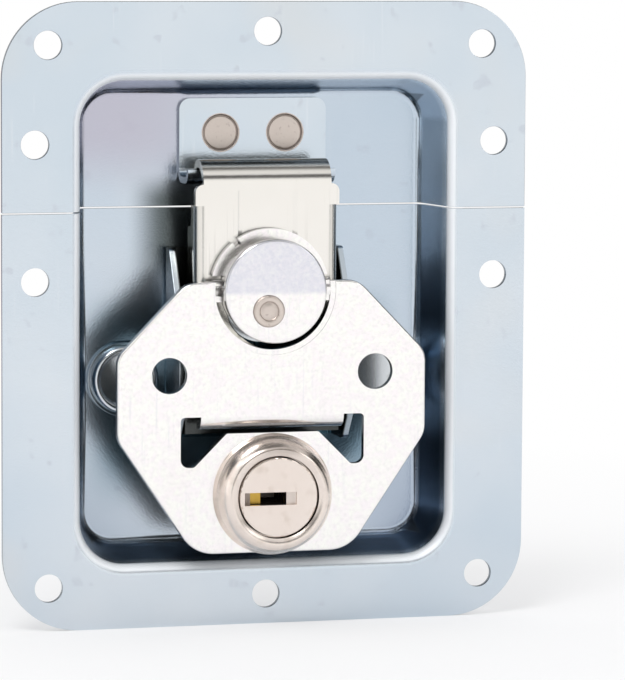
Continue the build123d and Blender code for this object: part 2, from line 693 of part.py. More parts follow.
# ---- Wing -------------------------------------------------------------------------------------
def make_wing():
    right = [
        (WING_TOP_HALF, -WING_TOP),
        (WING_HALF, -WING_WIDE_TOP),
        (WING_HALF, -WING_WIDE_BOTTOM),
        (WING_BOTTOM_HALF, -WING_BOTTOM),
    ]
    wing = plate(mirrored(right, WING_ROUNDS), WING_BACK, WING_FRONT)
    rim = [edge for edge in wing.edges() if abs(edge.bounding_box().max.Y + WING_FRONT) < NEAR]
    wing = fillet(rim, WING_EDGE)
    wing -= disc(SCALLOP, 0, -CAM_Z, 0, DISC_FACE)
    wing -= disc(SCALLOP + COIN_WIDE, 0, -CAM_Z, WING_FRONT - COIN_DEEP, DISC_FACE)
    wing -= plate(Pos(0, -CAM_Z + THROUGH / 2) * Rectangle(2 * EAR_INNER, THROUGH), 0, DISC_FACE)
    for side in (-1, 1):
        wing -= disc(FINGER_HOLE / 2, side * FINGER_X, -FINGER_Z, 0, DISC_FACE)
    slot_right = [
        (SLOT_HALF, -SLOT_TOP),
        (SLOT_HALF, -SLOT_TIP),
        (SHELF_HALF + SLOT_TIP - SHELF_TOP, -SLOT_TIP),
        (SHELF_HALF, -SHELF_TOP),
    ]
    wing -= plate(mirrored(slot_right, SLOT_ROUNDS), 0, DISC_FACE)
    wing -= disc(BARREL_RADIUS + FIT, 0, -LOCK_Z, 0, DISC_FACE)
    # The slot's upper edge is turned back into a stiffening lip.
    mid = -(WING_BACK + WING_SHEET / 2)
    lip_z = -SLOT_TOP - SLOT_LIP_BEND - WING_SHEET / 2
    lip = bent_sheet(
        [(mid, -SLOT_TOP + WING_SHEET / 2), (mid, lip_z), (-(WING_BACK - SLOT_LIP_BACK), lip_z)],
        [SLOT_LIP_BEND],
        WING_SHEET,
    )
    wing += side_profile(lip, SLOT_LIP_HALF)
    # Two ears, folded back beside the scallop, carry the hinge pin.
    root = WING_FRONT - WING_EDGE
    neck_low = -CAM_Z - EYE_RADIUS
    neck = Rectangle(root - PIN_OUT, -WING_TOP - neck_low)
    eye = Pos(-PIN_OUT, -CAM_Z) * Circle(EYE_RADIUS)
    eye += Pos(-(PIN_OUT + root) / 2, (neck_low - WING_TOP) / 2) * neck
    for start in (EAR_INNER, -EAR_INNER - EAR_SHEET):
        wing += extrude(Plane.YZ.offset(start) * eye, EAR_SHEET)
    bore = Plane.YZ * Pos(-PIN_OUT, -CAM_Z) * Circle(PIN_RADIUS + FIT)
    wing -= extrude(bore, EAR_INNER + EAR_SHEET + FIT, both=True)
    return wing


# ---- Lock -------------------------------------------------------------------------------------
def make_housing():
    bore = PLUG_BODY + RUN
    seat = PLUG_OUT - PLUG_HEAD_THICK - RUN
    rim = BEZEL_OUT - BEZEL_RIM_BACK
    points = [
        (bore, BARREL_BACK),
        (BARREL_RADIUS, BARREL_BACK),
        (BARREL_RADIUS, WING_FRONT),
    ]
    points += [(BEZEL_RADIUS + outward, WING_FRONT + up) for outward, up in BEZEL_FOOT]
    points += [(BEZEL_RADIUS - inward, BEZEL_OUT - back) for inward, back in BEZEL_CURVE]
    points += [
        (PLUG_HEAD + SIDE + BEZEL_RIM, rim),
        (PLUG_HEAD + SIDE, rim - BEZEL_RIM),
        (PLUG_HEAD + SIDE, seat),
        (bore, seat),
    ]
    return turned(points, 0, -LOCK_Z)


def make_nut():
    hexagon = RegularPolygon(NUT_FLATS / 2, 6, major_radius=False, rotation=30)
    ring = hexagon - Circle(BARREL_RADIUS + FIT)
    return plate(Pos(0, -LOCK_Z) * ring, WING_BACK - NUT_THICK, WING_BACK)


def wafer_outline():
    x = WAFER_LEFT + WAFER_WIDE / 2
    window_left = WAFER_LEFT + WAFER_BAR
    window_wide = WAFER_WIDE - WAFER_BAR - WAFER_EDGE
    body = Pos(x, 0) * Rectangle(WAFER_WIDE, WAFER_HIGH)
    window = Pos(window_left + window_wide / 2, 0) * Rectangle(window_wide, WAFER_WINDOW)
    return body, window


def wafer_front(number):
    return PLUG_OUT - PLUG_HEAD_THICK - WAFER_START - number * WAFER_PITCH


def make_plug():
    plug = disc(PLUG_BODY, 0, -LOCK_Z, BARREL_BACK, PLUG_OUT)
    plug += turned(
        [
            (0, PLUG_OUT - PLUG_HEAD_THICK),
            (PLUG_HEAD, PLUG_OUT - PLUG_HEAD_THICK),
            (PLUG_HEAD, PLUG_OUT - PLUG_EDGE),
            (PLUG_HEAD - PLUG_EDGE, PLUG_OUT),
            (0, PLUG_OUT),
        ],
        0,
        -LOCK_Z,
    )
    square = Pos(0, -LOCK_Z) * Rectangle(TONGUE_SQUARE - 2 * FIT, TONGUE_SQUARE - 2 * FIT)
    plug += plate(square, TONGUE_FACE - TONGUE_THICK, BARREL_BACK)
    keyway = Pos(KEYWAY_SHIFT, -LOCK_Z - KEYWAY_DROP) * Rectangle(KEYWAY_LONG, KEYWAY_HIGH)
    plug -= plate(keyway, PLUG_OUT - KEYWAY_DEEP, PLUG_OUT + PAST)
    entry = Pos(ENTRY_SHIFT, -LOCK_Z - KEYWAY_DROP) * Rectangle(ENTRY_LONG, KEYWAY_HIGH)
    plug -= plate(entry, PLUG_OUT - ENTRY_DEEP, PLUG_OUT + PAST)
    body, _ = wafer_outline()
    for number in range(WAFER_COUNT):
        front = wafer_front(number)
        slot = offset(body, FIT)
        plug -= plate(Pos(0, -LOCK_Z) * slot, front - WAFER_THICK - FIT, front + FIT)
    hole_end = TONGUE_FACE - TONGUE_THICK - LOCK_WASHER_THICK + SCREW_LONG + SCREW_HOLE_SPARE
    plug -= disc(SCREW_SHANK + FIT, 0, -LOCK_Z, TONGUE_FACE - 2 * TONGUE_THICK, hole_end)
    return plug


def make_wafer(number):
    body, window = wafer_outline()
    front = wafer_front(number)
    return plate(Pos(0, -LOCK_Z) * (body - window), front - WAFER_THICK, front)


def make_tongue():
    """The locking tongue, lying to the left while the lock is open."""
    arm = Circle(TONGUE_HUB)
    arm += Pos(-TONGUE_LONG / 2, 0) * Rectangle(TONGUE_LONG, TONGUE_WIDE)
    arm -= Rectangle(TONGUE_SQUARE, TONGUE_SQUARE)
    tips = arm.vertices().sort_by(Axis.X)[:2]
    arm = fillet(tips, TONGUE_CORNER)
    return plate(Pos(0, -LOCK_Z) * arm, TONGUE_FACE - TONGUE_THICK, TONGUE_FACE)


def make_lock_washer():
    ring = Circle(LOCK_WASHER_RADIUS) - Circle(SCREW_SHANK + FIT)
    front = TONGUE_FACE - TONGUE_THICK
    return plate(Pos(0, -LOCK_Z) * ring, front - LOCK_WASHER_THICK, front)


def make_screw():
    seat = TONGUE_FACE - TONGUE_THICK - LOCK_WASHER_THICK
    screw = disc(SCREW_SHANK, 0, -LOCK_Z, seat, seat + SCREW_LONG)
    screw += disc(SCREW_HEAD, 0, -LOCK_Z, seat - SCREW_HEAD_HIGH, seat)
    head_edge = screw.edges().filter_by(GeomType.CIRCLE).sort_by(Axis.Y)[-1]
    screw = chamfer(head_edge, SCREW_HEAD_ROUND)
    for turn in (0, 90):
        bar = Pos(0, -LOCK_Z) * Rot(0, 0, turn) * Rectangle(SCREW_DRIVE_LONG, SCREW_DRIVE)
        end = seat - SCREW_HEAD_HIGH
        screw -= plate(bar, end - PAST, end + SCREW_DRIVE_DEEP)
    return screw


def build():
    dish = make_dish()
    parts = {
        "lower_dish": half(dish, above=False),
        "upper_dish": half(dish, above=True),
        "strike_plate": make_strike(),
        "strike_rivet_left": make_strike_rivet(-RIVET_SPACING / 2),
        "strike_rivet_right": make_strike_rivet(RIVET_SPACING / 2),
        "latch_base": make_base(),
        "base_eyelet_left": make_eyelet(-EAR_X),
        "base_eyelet_right": make_eyelet(EAR_X),
        "shaft_bush": make_bush(),
        "lock_catch": make_catch(),
        "hook_plate": make_hook(),
        "cam_shaft": make_shaft(),
        "shaft_washer": make_washer(),
        "cam_drum": make_drum(),
        "cam_disc": make_disc(),
        "crank_rivet": make_crank_rivet(),
        "hinge_pin": make_pin(),
        "wing_spring": make_spring(),
        "wing": make_wing(),
        "lock_housing": make_housing(),
        "lock_nut": make_nut(),
        "lock_plug": make_plug(),
        "lock_tongue": make_tongue(),
        "tongue_washer": make_lock_washer(),
        "tongue_screw": make_screw(),
    }
    for number in range(WAFER_COUNT):
        parts[f"lock_wafer_{number + 1}"] = make_wafer(number)
    return parts


os.makedirs("parts", exist_ok=True)
for name, shape in build().items():
    solids = shape.solids()
    body = solids[0] if len(solids) == 1 else Compound(children=list(solids))
    body.label = name
    export_step(body, f"parts/{name}.step")
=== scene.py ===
# %% [markdown]
# # A recessed butterfly case latch
# This lesson dresses a latch of the kind that shuts a road case: a pressed dish in two halves, a
# folding wing with two finger holes, and a key lock. The shapes come from a solid model that is
# packed with its joints. Here each piece gets its finish, and the small things that only a close
# look shows. Starting from the solid model, rather than from new boxes, keeps every size right.

import json
import math

import bpy
from mathutils import Matrix, Vector


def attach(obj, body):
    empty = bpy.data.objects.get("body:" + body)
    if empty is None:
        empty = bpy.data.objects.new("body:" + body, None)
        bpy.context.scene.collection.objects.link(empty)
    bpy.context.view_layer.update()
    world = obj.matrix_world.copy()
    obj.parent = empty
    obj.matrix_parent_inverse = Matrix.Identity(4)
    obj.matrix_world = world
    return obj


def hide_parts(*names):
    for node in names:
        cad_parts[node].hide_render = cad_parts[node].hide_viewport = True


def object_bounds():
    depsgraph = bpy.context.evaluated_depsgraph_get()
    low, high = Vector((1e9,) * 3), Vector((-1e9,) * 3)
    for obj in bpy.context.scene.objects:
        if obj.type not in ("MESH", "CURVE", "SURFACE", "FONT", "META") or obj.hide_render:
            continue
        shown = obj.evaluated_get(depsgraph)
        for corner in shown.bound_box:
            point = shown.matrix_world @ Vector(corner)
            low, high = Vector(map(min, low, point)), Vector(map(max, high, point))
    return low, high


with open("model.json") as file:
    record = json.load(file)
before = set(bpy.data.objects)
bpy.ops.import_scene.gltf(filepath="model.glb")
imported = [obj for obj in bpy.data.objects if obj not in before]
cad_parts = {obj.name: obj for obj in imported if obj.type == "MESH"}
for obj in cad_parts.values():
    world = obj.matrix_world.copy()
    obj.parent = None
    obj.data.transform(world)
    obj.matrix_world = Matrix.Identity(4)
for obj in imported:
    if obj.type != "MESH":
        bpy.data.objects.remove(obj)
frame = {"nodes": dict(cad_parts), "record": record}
cad_low, cad_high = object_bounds()
MM = 0.001
print("pieces in the latch:", len(frame["nodes"]))

# %% [markdown]
# A long lens, far away, shows a small part with almost no distortion, as a catalogue picture does.
# The camera could be aimed with a Track To constraint. A rotation worked out from the line of
# sight is as short, and it also takes the slight roll of a hand-held camera.

# %% Camera
SIGHT_FROM = Vector((-184.05, -741.40, 57.54)) * MM
SIGHT_AT = Vector((8.62, -1.2, -23.93)) * MM
ROLL = math.radians(0.30)
SENSOR_WIDTH = 36.0
FOCAL_LENGTH = 241.36


def aim(from_point, at_point):
    """The rotation that turns a lamp or camera towards a point."""
    return (at_point - from_point).to_track_quat("-Z", "Y").to_euler()


camera_data = bpy.data.cameras.new("catalogue_lens")
camera_data.sensor_fit = "HORIZONTAL"
camera_data.sensor_width = SENSOR_WIDTH
camera_data.lens = FOCAL_LENGTH
camera_data.clip_start = 0.05
camera_data.clip_end = 20.0
camera = bpy.data.objects.new("catalogue_camera", camera_data)
bpy.context.scene.collection.objects.link(camera)
camera.location = SIGHT_FROM
turn = (SIGHT_AT - SIGHT_FROM).to_track_quat("-Z", "Y").to_matrix()
camera.rotation_euler = (turn @ Matrix.Rotation(ROLL, 3, "Z")).to_euler()
bpy.context.scene.camera = camera
bpy.context.scene.view_settings.view_transform = "Standard"
print("camera is", round(SIGHT_FROM.length, 3), "m from the latch")

# %% [markdown]
# Shader maths reads best as ordinary sums. This small class wraps a socket, so that `1 - mask`
# or `grain * 0.3` adds the right Math node by itself. The other class holds one material and
# adds any other kind of node. The nodes could be wired one by one instead, which is the same
# work with many more lines.


# %% Sockets that can be added and multiplied
class Wire:
    """One output socket of a node tree, usable in sums."""

    def __init__(self, bench, socket):
        self.bench = bench
        self.socket = socket

    def join(self, operation, first, second):
        return self.bench.add("ShaderNodeMath", {"operation": operation}, {0: first, 1: second})

    def __add__(self, other):
        return self.join("ADD", self, other)

    def __radd__(self, other):
        return self.join("ADD", other, self)

    def __sub__(self, other):
        return self.join("SUBTRACT", self, other)

    def __rsub__(self, other):
        return self.join("SUBTRACT", other, self)

    def __mul__(self, other):
        return self.join("MULTIPLY", self, other)

    def __rmul__(self, other):
        return self.join("MULTIPLY", other, self)


class Bench:
    """A node tree, and one method that adds any node to it."""

    def __init__(self, tree):
        self.tree = tree

    def add(self, kind, settings, values, output=0):
        node = self.tree.nodes.new(kind)
        for name, value in settings.items():
            if name == "stops":
                self.set_stops(node.color_ramp, value)
            else:
                setattr(node, name, value)
        for socket, value in values.items():
            if isinstance(value, Wire):
                self.tree.links.new(value.socket, node.inputs[socket])
            else:
                node.inputs[socket].default_value = value
        return Wire(self, node.outputs[output])

    def set_stops(self, ramp, stops):
        while len(ramp.elements) < len(stops):
            ramp.elements.new(1.0)
        for element, (position, level) in zip(ramp.elements, stops):
            element.position = position
            element.color = (level, level, level, 1.0)

    def ramp(self, wire, *stops):
        return self.add("ShaderNodeValToRGB", {"stops": stops}, {"Fac": wire})

    def mix(self, factor, first, second):
        """A colour between two colours."""
        settings = {"data_type": "RGBA"}
        return self.add("ShaderNodeMix", settings, {0: factor, 6: first, 7: second}, 2)


class Finish(Bench):
    """A material with one Principled shader."""

    def __init__(self, name, metallic):
        self.material = bpy.data.materials.new(name)
        self.material.use_nodes = True
        super().__init__(self.material.node_tree)
        self.shader = self.tree.nodes["Principled BSDF"]
        self.shader.inputs["Metallic"].default_value = metallic

    def feed(self, socket, wire):
        self.tree.links.new(wire.socket, self.shader.inputs[socket])

    def place(self, scale=(1.0, 1.0, 1.0), turn=(0.0, 0.0, 0.0), shift=(0.0, 0.0, 0.0)):
        """Where a point lies on the latch, in metres, stretched and turned if wanted."""
        spot = self.add("ShaderNodeTexCoord", {}, {}, "Object")
        values = {"Vector": spot, "Location": shift, "Rotation": turn, "Scale": scale}
        return self.add("ShaderNodeMapping", {}, values)

    def noise(self, where, scale, detail=2.0, roughness=0.5):
        values = {"Vector": where, "Scale": scale, "Detail": detail, "Roughness": roughness}
        return self.add("ShaderNodeTexNoise", {}, values)

    def scuffs(self, angle, amount, density=0.66):
        """Fine straight rub marks, 0 where there is none and up to `amount` in a mark."""
        turn = (0.0, math.radians(angle), 0.0)
        lines = self.noise(self.place((1.0, 1.0, 0.035), turn), 1500.0, 1.0)
        patch = self.noise(self.place(shift=(angle, 0.0, 0.0)), 60.0, 1.0)
        marks = self.ramp(lines, (density, 0.0), (density + 0.06, 1.0))
        return marks * self.ramp(patch, (0.45, 0.0), (0.6, 1.0)) * amount

    def unseen(self, across=0.3):
        """1 on faces that point back into the case, where the wing's finish paints shade."""
        facing = self.add("ShaderNodeTexCoord", {}, {}, "Normal")
        back = self.add("ShaderNodeSeparateXYZ", {}, {0: facing}, 1)
        return self.ramp(back, (across, 0.0), (across + 0.2, 1.0))

    def cut_edge(self):
        """1 on the cut edges of a sheet, which stand square to the front, and 0 on its face."""
        facing = self.add("ShaderNodeTexCoord", {}, {}, "Normal")
        front = self.add("ShaderNodeSeparateXYZ", {}, {0: facing}, 1)
        flatness = self.add("ShaderNodeMath", {"operation": "ABSOLUTE"}, {0: front})
        return self.ramp(flatness, (0.45, 1.0), (0.97, 0.0))

    def along(self, axis, start, end):
        """0 before one place and 1 past another along X, Y or Z, both in millimetres."""
        reading = self.add("ShaderNodeSeparateXYZ", {}, {0: self.place()}, "XYZ".index(axis))
        settings = {"interpolation_type": "SMOOTHSTEP"}
        values = {0: reading, 1: start * MM, 2: end * MM}
        return self.add("ShaderNodeMapRange", settings, values)

    def until(self, axis, start, end):
        """The reverse of `along`: 1 before the first place and 0 past the second."""
        return 1.0 - self.along(axis, start, end)

    def between(self, axis, rise, fall):
        """1 from the end of `rise` to the start of `fall`, each a pair of places on one axis."""
        return self.along(axis, *rise) * self.until(axis, *fall)

    def outside_of(self, side, top, bottom, blend):
        """1 outside an upright rectangle seen from the front, in millimetres, and 0 inside."""
        across = self.until("X", -side - blend, -side) + self.along("X", side, side + blend)
        upright = self.along("Z", top, top + blend) + self.until("Z", bottom - blend, bottom)
        return self.add("ShaderNodeMath", {"operation": "MINIMUM"}, {0: across + upright, 1: 1.0})

    def in_channel(self, front):
        """1 inside the channel of the base, behind the pair of depths `front`."""
        walls = self.between("X", (-15.7, -15.35), (15.35, 15.7))
        depth = self.between("Y", front, (10.7, 11.1))
        return walls * depth * self.along("Z", -43.3, -42.9)

    def bump(self, height, distance, strength=1.0):
        values = {"Height": height, "Distance": distance, "Strength": strength}
        self.feed("Normal", self.add("ShaderNodeBump", {}, values))


def paint(red, green, blue):
    """A colour as screens give it, made linear for the shader."""

    def straight(level):
        level = level / 255
        return level / 12.92 if level <= 0.04045 else ((level + 0.055) / 1.055) ** 2.4

    return (straight(red), straight(green), straight(blue), 1.0)


print("the finish bench is ready")

# %% [markdown]
# The latch stands on a plain pale floor before a white background. A white room could be built
# of cards. It is simpler to let the floor answer white to the camera, more so the further it is
# from the latch, so that its edge melts into the background and the shadow of the latch stays.

# %% Floor
FLOOR_SIDE = 1.1
SHADOW_SHARE = 0.55
bpy.ops.object.select_all(action="DESELECT")
bpy.ops.mesh.primitive_plane_add(size=FLOOR_SIDE, location=(0, 0, cad_low[2]))
floor = bpy.context.object
floor.name = "studio_floor"
floor_finish = Finish("floor_paint", 0.0)
floor_finish.shader.inputs["Roughness"].default_value = 0.9
dust = floor_finish.noise(floor_finish.place(), 14.0, 3.0)
floor_finish.feed("Base Color", floor_finish.mix(dust, paint(236, 236, 238), paint(242, 242, 243)))
floor_finish.bump(floor_finish.noise(floor_finish.place(), 900.0), 0.0001, 0.3)
seen = floor_finish.add("ShaderNodeLightPath", {}, {}, "Is Camera Ray")
through = floor_finish.add("ShaderNodeLightPath", {}, {}, "Is Transmission Ray")
white = floor_finish.add("ShaderNodeEmission", {}, {"Color": (1, 1, 1, 1), "Strength": 1.0})
shaded = Wire(floor_finish, floor_finish.shader.outputs[0])
spot = {0: floor_finish.place()}
away = floor_finish.add("ShaderNodeVectorMath", {"operation": "LENGTH"}, spot, 1)
melt = floor_finish.ramp(away, (0.06, 1.0 - SHADOW_SHARE), (0.26, 1.0))
floor_mix = {0: (seen + through) * melt, 1: shaded, 2: white}
floor_surface = floor_finish.add("ShaderNodeMixShader", {}, floor_mix)
floor_output = floor_finish.tree.nodes["Material Output"]
floor_finish.tree.links.new(floor_surface.socket, floor_output.inputs["Surface"])
floor.data.materials.append(floor_finish.material)
print("floor at", round(cad_low[2] / MM, 1), "mm")

# %% [markdown]
# Metal is the colour of what it mirrors, so the room matters more than the lamps. Small cards on
# stands could be modelled. Here the sky itself holds one broad white card straight ahead of the
# latch, a dark gap above it, a second card higher up and one on each side. What is dark between
# them draws the recess walls.

# %% White cards in the sky
AHEAD = (0.13, -0.985, -0.11)
TO_THE_LEFT = (-0.99, -0.1, 0.05)
TO_THE_RIGHT = (0.9, -0.42, 0.05)
world = bpy.data.worlds.new("white_room")
bpy.context.scene.world = world
world.use_nodes = True
world.node_tree.nodes.clear()
sky = Bench(world.node_tree)
looking = sky.add("ShaderNodeTexCoord", {}, {}, "Generated")


def toward(direction):
    """1 where a reflection looks along a direction, and -1 where it looks the other way."""
    lines_of_sight = {0: looking, 1: direction}
    return sky.add("ShaderNodeVectorMath", {"operation": "DOT_PRODUCT"}, lines_of_sight, 1)


near_card = ((0.7, 0.01), (0.85, 0.02), (0.915, 0.95), (0.95, 1.04))
far_wall = ((0.0, 0.7), (0.3, 0.5), (0.45, 0.1))
card = sky.ramp(toward(AHEAD) * 0.5 + 0.5, *far_wall, *near_card)
height = sky.add("ShaderNodeSeparateXYZ", {}, {0: looking}, 2) * 0.5 + 0.5
gap = sky.ramp(height, (0.66, 1.0), (0.72, 0.12), (0.79, 0.12), (0.83, 1.0))
upper = sky.ramp(height, (0.80, 0.0), (0.84, 0.9), (0.93, 0.9), (0.97, 0.1))
left_card = sky.ramp(toward(TO_THE_LEFT), (0.66, 0.0), (0.78, 1.05))
right_card = sky.ramp(toward(TO_THE_RIGHT), (0.95, 0.0), (0.975, 0.85))
sides = left_card + right_card
level = card * gap + upper + sides
print("four white cards")

# %% [markdown]
# The cards are only for mirror images. The camera, and light that has passed through something,
# see plain white, and matt surfaces get an even light. The Light Path node tells these apart.
# With one strength for all of them, the background and the metal could not both be right.

# %% World light
ROOM_LIGHT = 0.85
mirrored = sky.add("ShaderNodeLightPath", {}, {}, "Is Glossy Ray")
seen = sky.add("ShaderNodeLightPath", {}, {}, "Is Camera Ray")
through = sky.add("ShaderNodeLightPath", {}, {}, "Is Transmission Ray")
matt = (1.0 - mirrored) * (1.0 - seen) * (1.0 - through)
strength = mirrored * level + (seen + through) + matt * ROOM_LIGHT
room = sky.add("ShaderNodeBackground", {}, {"Color": (1, 1, 1, 1), "Strength": strength})
sky_end = sky.tree.nodes.new("ShaderNodeOutputWorld")
sky.tree.links.new(room.socket, sky_end.inputs["Surface"])
print("world is white to the camera")

# %% [markdown]
# Two soft round lamps finish the light. A single hard one would leave the recess black and put a
# hot spot on the wing. The stronger one hangs high on the left, and a weak one fills the right.

# %% Lamps
LATCH_MIDDLE = Vector((0, 0, -0.02))
SOFTBOX_SIZE = 0.5


def soft_lamp(name, place, power):
    """A round area lamp, aimed at the middle of the latch."""
    data = bpy.data.lights.new(name, "AREA")
    data.shape = "DISK"
    data.size = SOFTBOX_SIZE
    data.energy = power
    lamp = bpy.data.objects.new(name, data)
    bpy.context.scene.collection.objects.link(lamp)
    lamp.location = place
    lamp.rotation_euler = aim(Vector(place), LATCH_MIDDLE)


soft_lamp("key_softbox", (-0.45, -0.6, 0.95), 5.0)
soft_lamp("fill_softbox", (0.8, -0.7, 0.5), 1.2)
print("two soft lamps")

# %% [markdown]
# The dish is mild steel with a bright zinc plating and a blue passivation. On the real thing the
# passivation gives a cool grey-blue with faint violet and straw clouds, and the rolled sheet
# under it gives a fine even stipple. A scanned texture could do this, but three noises at
# three scales do it from any side and at any size.

# %% Blue zinc
dish = Finish("blue_zinc", 1.0)
clouds = dish.noise(dish.place(), 22.0, 3.0, 0.55)
straw = dish.noise(dish.place(shift=(0.3, 0.1, 0.7)), 31.0, 2.0, 0.5)
stipple = dish.noise(dish.place(), 2600.0, 2.0, 0.6)
drops = dish.ramp(dish.noise(dish.place(), 240.0, 2.0), (0.66, 0.0), (0.74, 0.5))
rubs = dish.scuffs(38, 0.25)
cloudy = dish.ramp(clouds, (0.3, 0.0), (0.7, 1.0))
cool = dish.mix(cloudy, paint(201, 213, 223), paint(217, 224, 230))
warm = dish.mix(dish.ramp(straw, (0.58, 0.0), (0.78, 0.5)), cool, paint(219, 218, 215))
spotted = dish.mix(drops, warm, paint(196, 202, 212))
rubbed = dish.mix(rubs * 0.7, spotted, paint(232, 235, 238))
print("plain blue zinc is mixed")

# %% [markdown]
# The floor of the recess is painted a stronger, darker blue as painted shade, with more painted
# shade in violet grey at the upper left and in grey-blue in the lower corners. Such shades could
# be painted on an unwrapped mesh. Soft bands along X, Y and Z need no unwrapping, and two of them
# multiplied make a corner.

# %% Painted shade on the recess floor
deep = dish.along("Y", 10.7, 11.2)
# The whole floor of the recess is painted a darker blue, as painted shade.
floor_shaded = dish.mix(deep * (0.45 - clouds * 0.2), rubbed, paint(172, 188, 206))
upper_left = dish.until("X", -26.0, 14.0) * dish.along("Z", 0.0, 14.0)
lower_left = dish.until("X", -34.0, -12.0) * dish.until("Z", -64.0, -34.0)
lower_right = dish.along("X", 12.0, 30.0) * dish.until("Z", -62.0, -28.0)
# Three corners of the floor get more painted shade: violet grey at the upper left, grey-blue
# below.
CORNER_SHADES = (
    (upper_left, 0.8, paint(188, 184, 197)),
    (lower_left, 0.7, paint(158, 170, 184)),
    (lower_right, 0.6, paint(152, 164, 184)),
)
for corner, strength, corner_shade in CORNER_SHADES:
    floor_shaded = dish.mix(corner * deep * strength, floor_shaded, corner_shade)
print("stains on the floor:", len(CORNER_SHADES))

# %% [markdown]
# The steep walls of the recess are painted a darker steel blue as painted shade, most towards the
# bottom. The rolled lip between wall and flange is painted nearly white, partly as wear and partly
# as a painted highlight, and the cut edges of the sheet are darker again. The lip could have a
# material of its own. With one mask its colour, roughness and shine change together, and there
# is no seam.

# %% Walls, lip and cut edges
WALL_FOOT = {"side": 31.3, "top": 20.6, "bottom": -61.3, "blend": 0.3}
LIP_END = {"side": 37.0, "top": 26.5, "bottom": -67.0, "blend": 0.5}
outside = dish.outside_of(**WALL_FOOT)
flange = dish.outside_of(**LIP_END)
steep = dish.between("Y", (0.6, 3.2), (9.8, 11.0))
# The walls are painted a darker steel blue as painted shade, most towards the bottom.
wall_shade_amount = 0.95 - dish.along("Z", -30.0, 15.0) * 0.45
walls_shaded = dish.mix(outside * steep * wall_shade_amount, floor_shaded, paint(90, 118, 146))
cut = dish.cut_edge() * (flange * 0.8 + (1.0 - outside) * 0.85)
edged = dish.mix(cut, walls_shaded, paint(72, 88, 102))
# The lip is painted nearly white and matt, partly as wear and partly as a painted highlight.
lip = outside * (1.0 - flange) * dish.between("Y", (-1.19, -0.9), (0.1, 1.0))
lip_rubbed_and_highlit = dish.mix(lip * 0.85, edged, paint(246, 249, 252))
print("walls, lip and cut edges are tinted")

# %% [markdown]
# Shade is painted into the channel of the base, onto the floor behind the wing, and beside the
# hook. Shadow alone leaves these places too pale, because bright metal mirrors the light room
# from almost everywhere.

# %% Painted shade in the channel, behind the wing and beside the hook
# The inside of the base's channel is painted nearly black, as painted shade.
channel_shade = dish.in_channel((-1.2, -0.4)) * dish.until("Z", -7.2, -6.8)
channel_shaded = dish.mix(channel_shade * 0.95, lip_rubbed_and_highlit, paint(52, 53, 50))
front = dish.until("Y", 11.8, 12.4)
# The floor behind the wing is painted a dark blue, as painted shade.
behind = dish.between("X", (-34.0, -24.0), (20.0, 30.0)) * dish.along("Y", 9.0, 10.2)
behind = behind * front * dish.between("Z", (-58.0, -44.0), (-24.0, -14.0))
behind_wing_shaded = dish.mix(behind * 0.75, channel_shaded, paint(84, 124, 142))
# The floor beside the hook is painted a dark green-grey, as painted shade.
beside = dish.between("X", (-24.0, -16.5), (-13.0, -8.0)) * deep
beside = beside * front * dish.between("Z", (-18.0, -8.0), (1.0, 7.0))
dish.feed("Base Color", dish.mix(beside * 0.85, behind_wing_shaded, paint(62, 70, 66)))
dish.feed("Roughness", 0.16 + clouds * 0.1 + drops * 0.1 + lip * 0.3)
dish.feed("Metallic", 1.0 - lip * 0.75)
dish.bump(stipple + rubs * 0.5, 0.00003, 0.55)
print("finish:", dish.material.name)

# %% [markdown]
# The wing and the cam have the brighter clear plating. It is nearly white, and a close look
# shows fine pink, cream and grey grains, with a few handling marks. Two grains of different
# sizes are mixed, because one alone looks like printed paper.

# %% Bright plating on the wing and the cam
bright = Finish("bright_zinc", 1.0)
patches = bright.noise(bright.place(), 35.0, 3.0, 0.5)
crystals = bright.noise(bright.place(), 1500.0, 3.0, 0.65)
tint = bright.noise(bright.place(shift=(0.4, 0.2, 0.9)), 620.0, 2.0, 0.6)
grain = bright.noise(bright.place(), 3200.0, 2.0, 0.6)
tinted = bright.ramp(tint, (0.4, 0.0), (0.6, 1.0))
pale = bright.mix(tinted, paint(253, 248, 248), paint(254, 253, 248))
grained = bright.mix(bright.ramp(crystals, (0.46, 0.0), (0.72, 0.6)), pale, paint(236, 234, 232))
smudge = bright.ramp(patches, (0.6, 0.0), (0.75, 0.35))
rubs = bright.scuffs(-25, 0.3) + bright.scuffs(64, 0.2)
dulled = bright.mix(smudge, grained, paint(240, 234, 226))
rubbed = bright.mix(rubs, dulled, paint(226, 227, 230))
# The upper half of the cam's cap is painted lilac grey, as a painted reflection.
cap_reflection_mask = bright.along("Z", -15.1, -14.0) * bright.until("Y", -8.2, -7.9)
cap_reflection_painted = bright.mix(cap_reflection_mask * (0.35 + crystals * 0.9), rubbed, paint(222, 222, 231))
edged = bright.mix(bright.cut_edge() * 0.55, cap_reflection_painted, paint(150, 152, 156))
# Faces that point back into the case are painted dark, as painted shade.
bright.feed("Base Color", bright.mix(bright.unseen() * 0.85, edged, paint(98, 98, 96)))
bright.feed("Roughness", 0.13 + patches * 0.08 + crystals * 0.08 + smudge * 0.1)
bright.bump(grain + crystals * 0.6 + rubs * 0.5, 0.00002, 0.3)
print("finish:", bright.material.name)

# %% [markdown]
# The hook is plated like the wing but has slid under the strike for years, so it is a little
# warmer, with rub marks along its travel. A separate finish is needed, as these marks run up and
# down. Olive shade is painted towards its lower end, and its parts set back in the case are
# painted dark, both as painted shade.

# %% Warm plating on the hook
hook = Finish("hook_zinc", 1.0)
patches = hook.noise(hook.place(), 60.0, 3.0, 0.5)
travel = hook.scuffs(0, 0.3, 0.62)
cream = hook.mix(patches, paint(232, 228, 221), paint(247, 244, 239))
rubbed = hook.mix(travel, cream, paint(222, 218, 210))
below = hook.add("ShaderNodeSeparateXYZ", {}, {0: hook.place()}, 2)
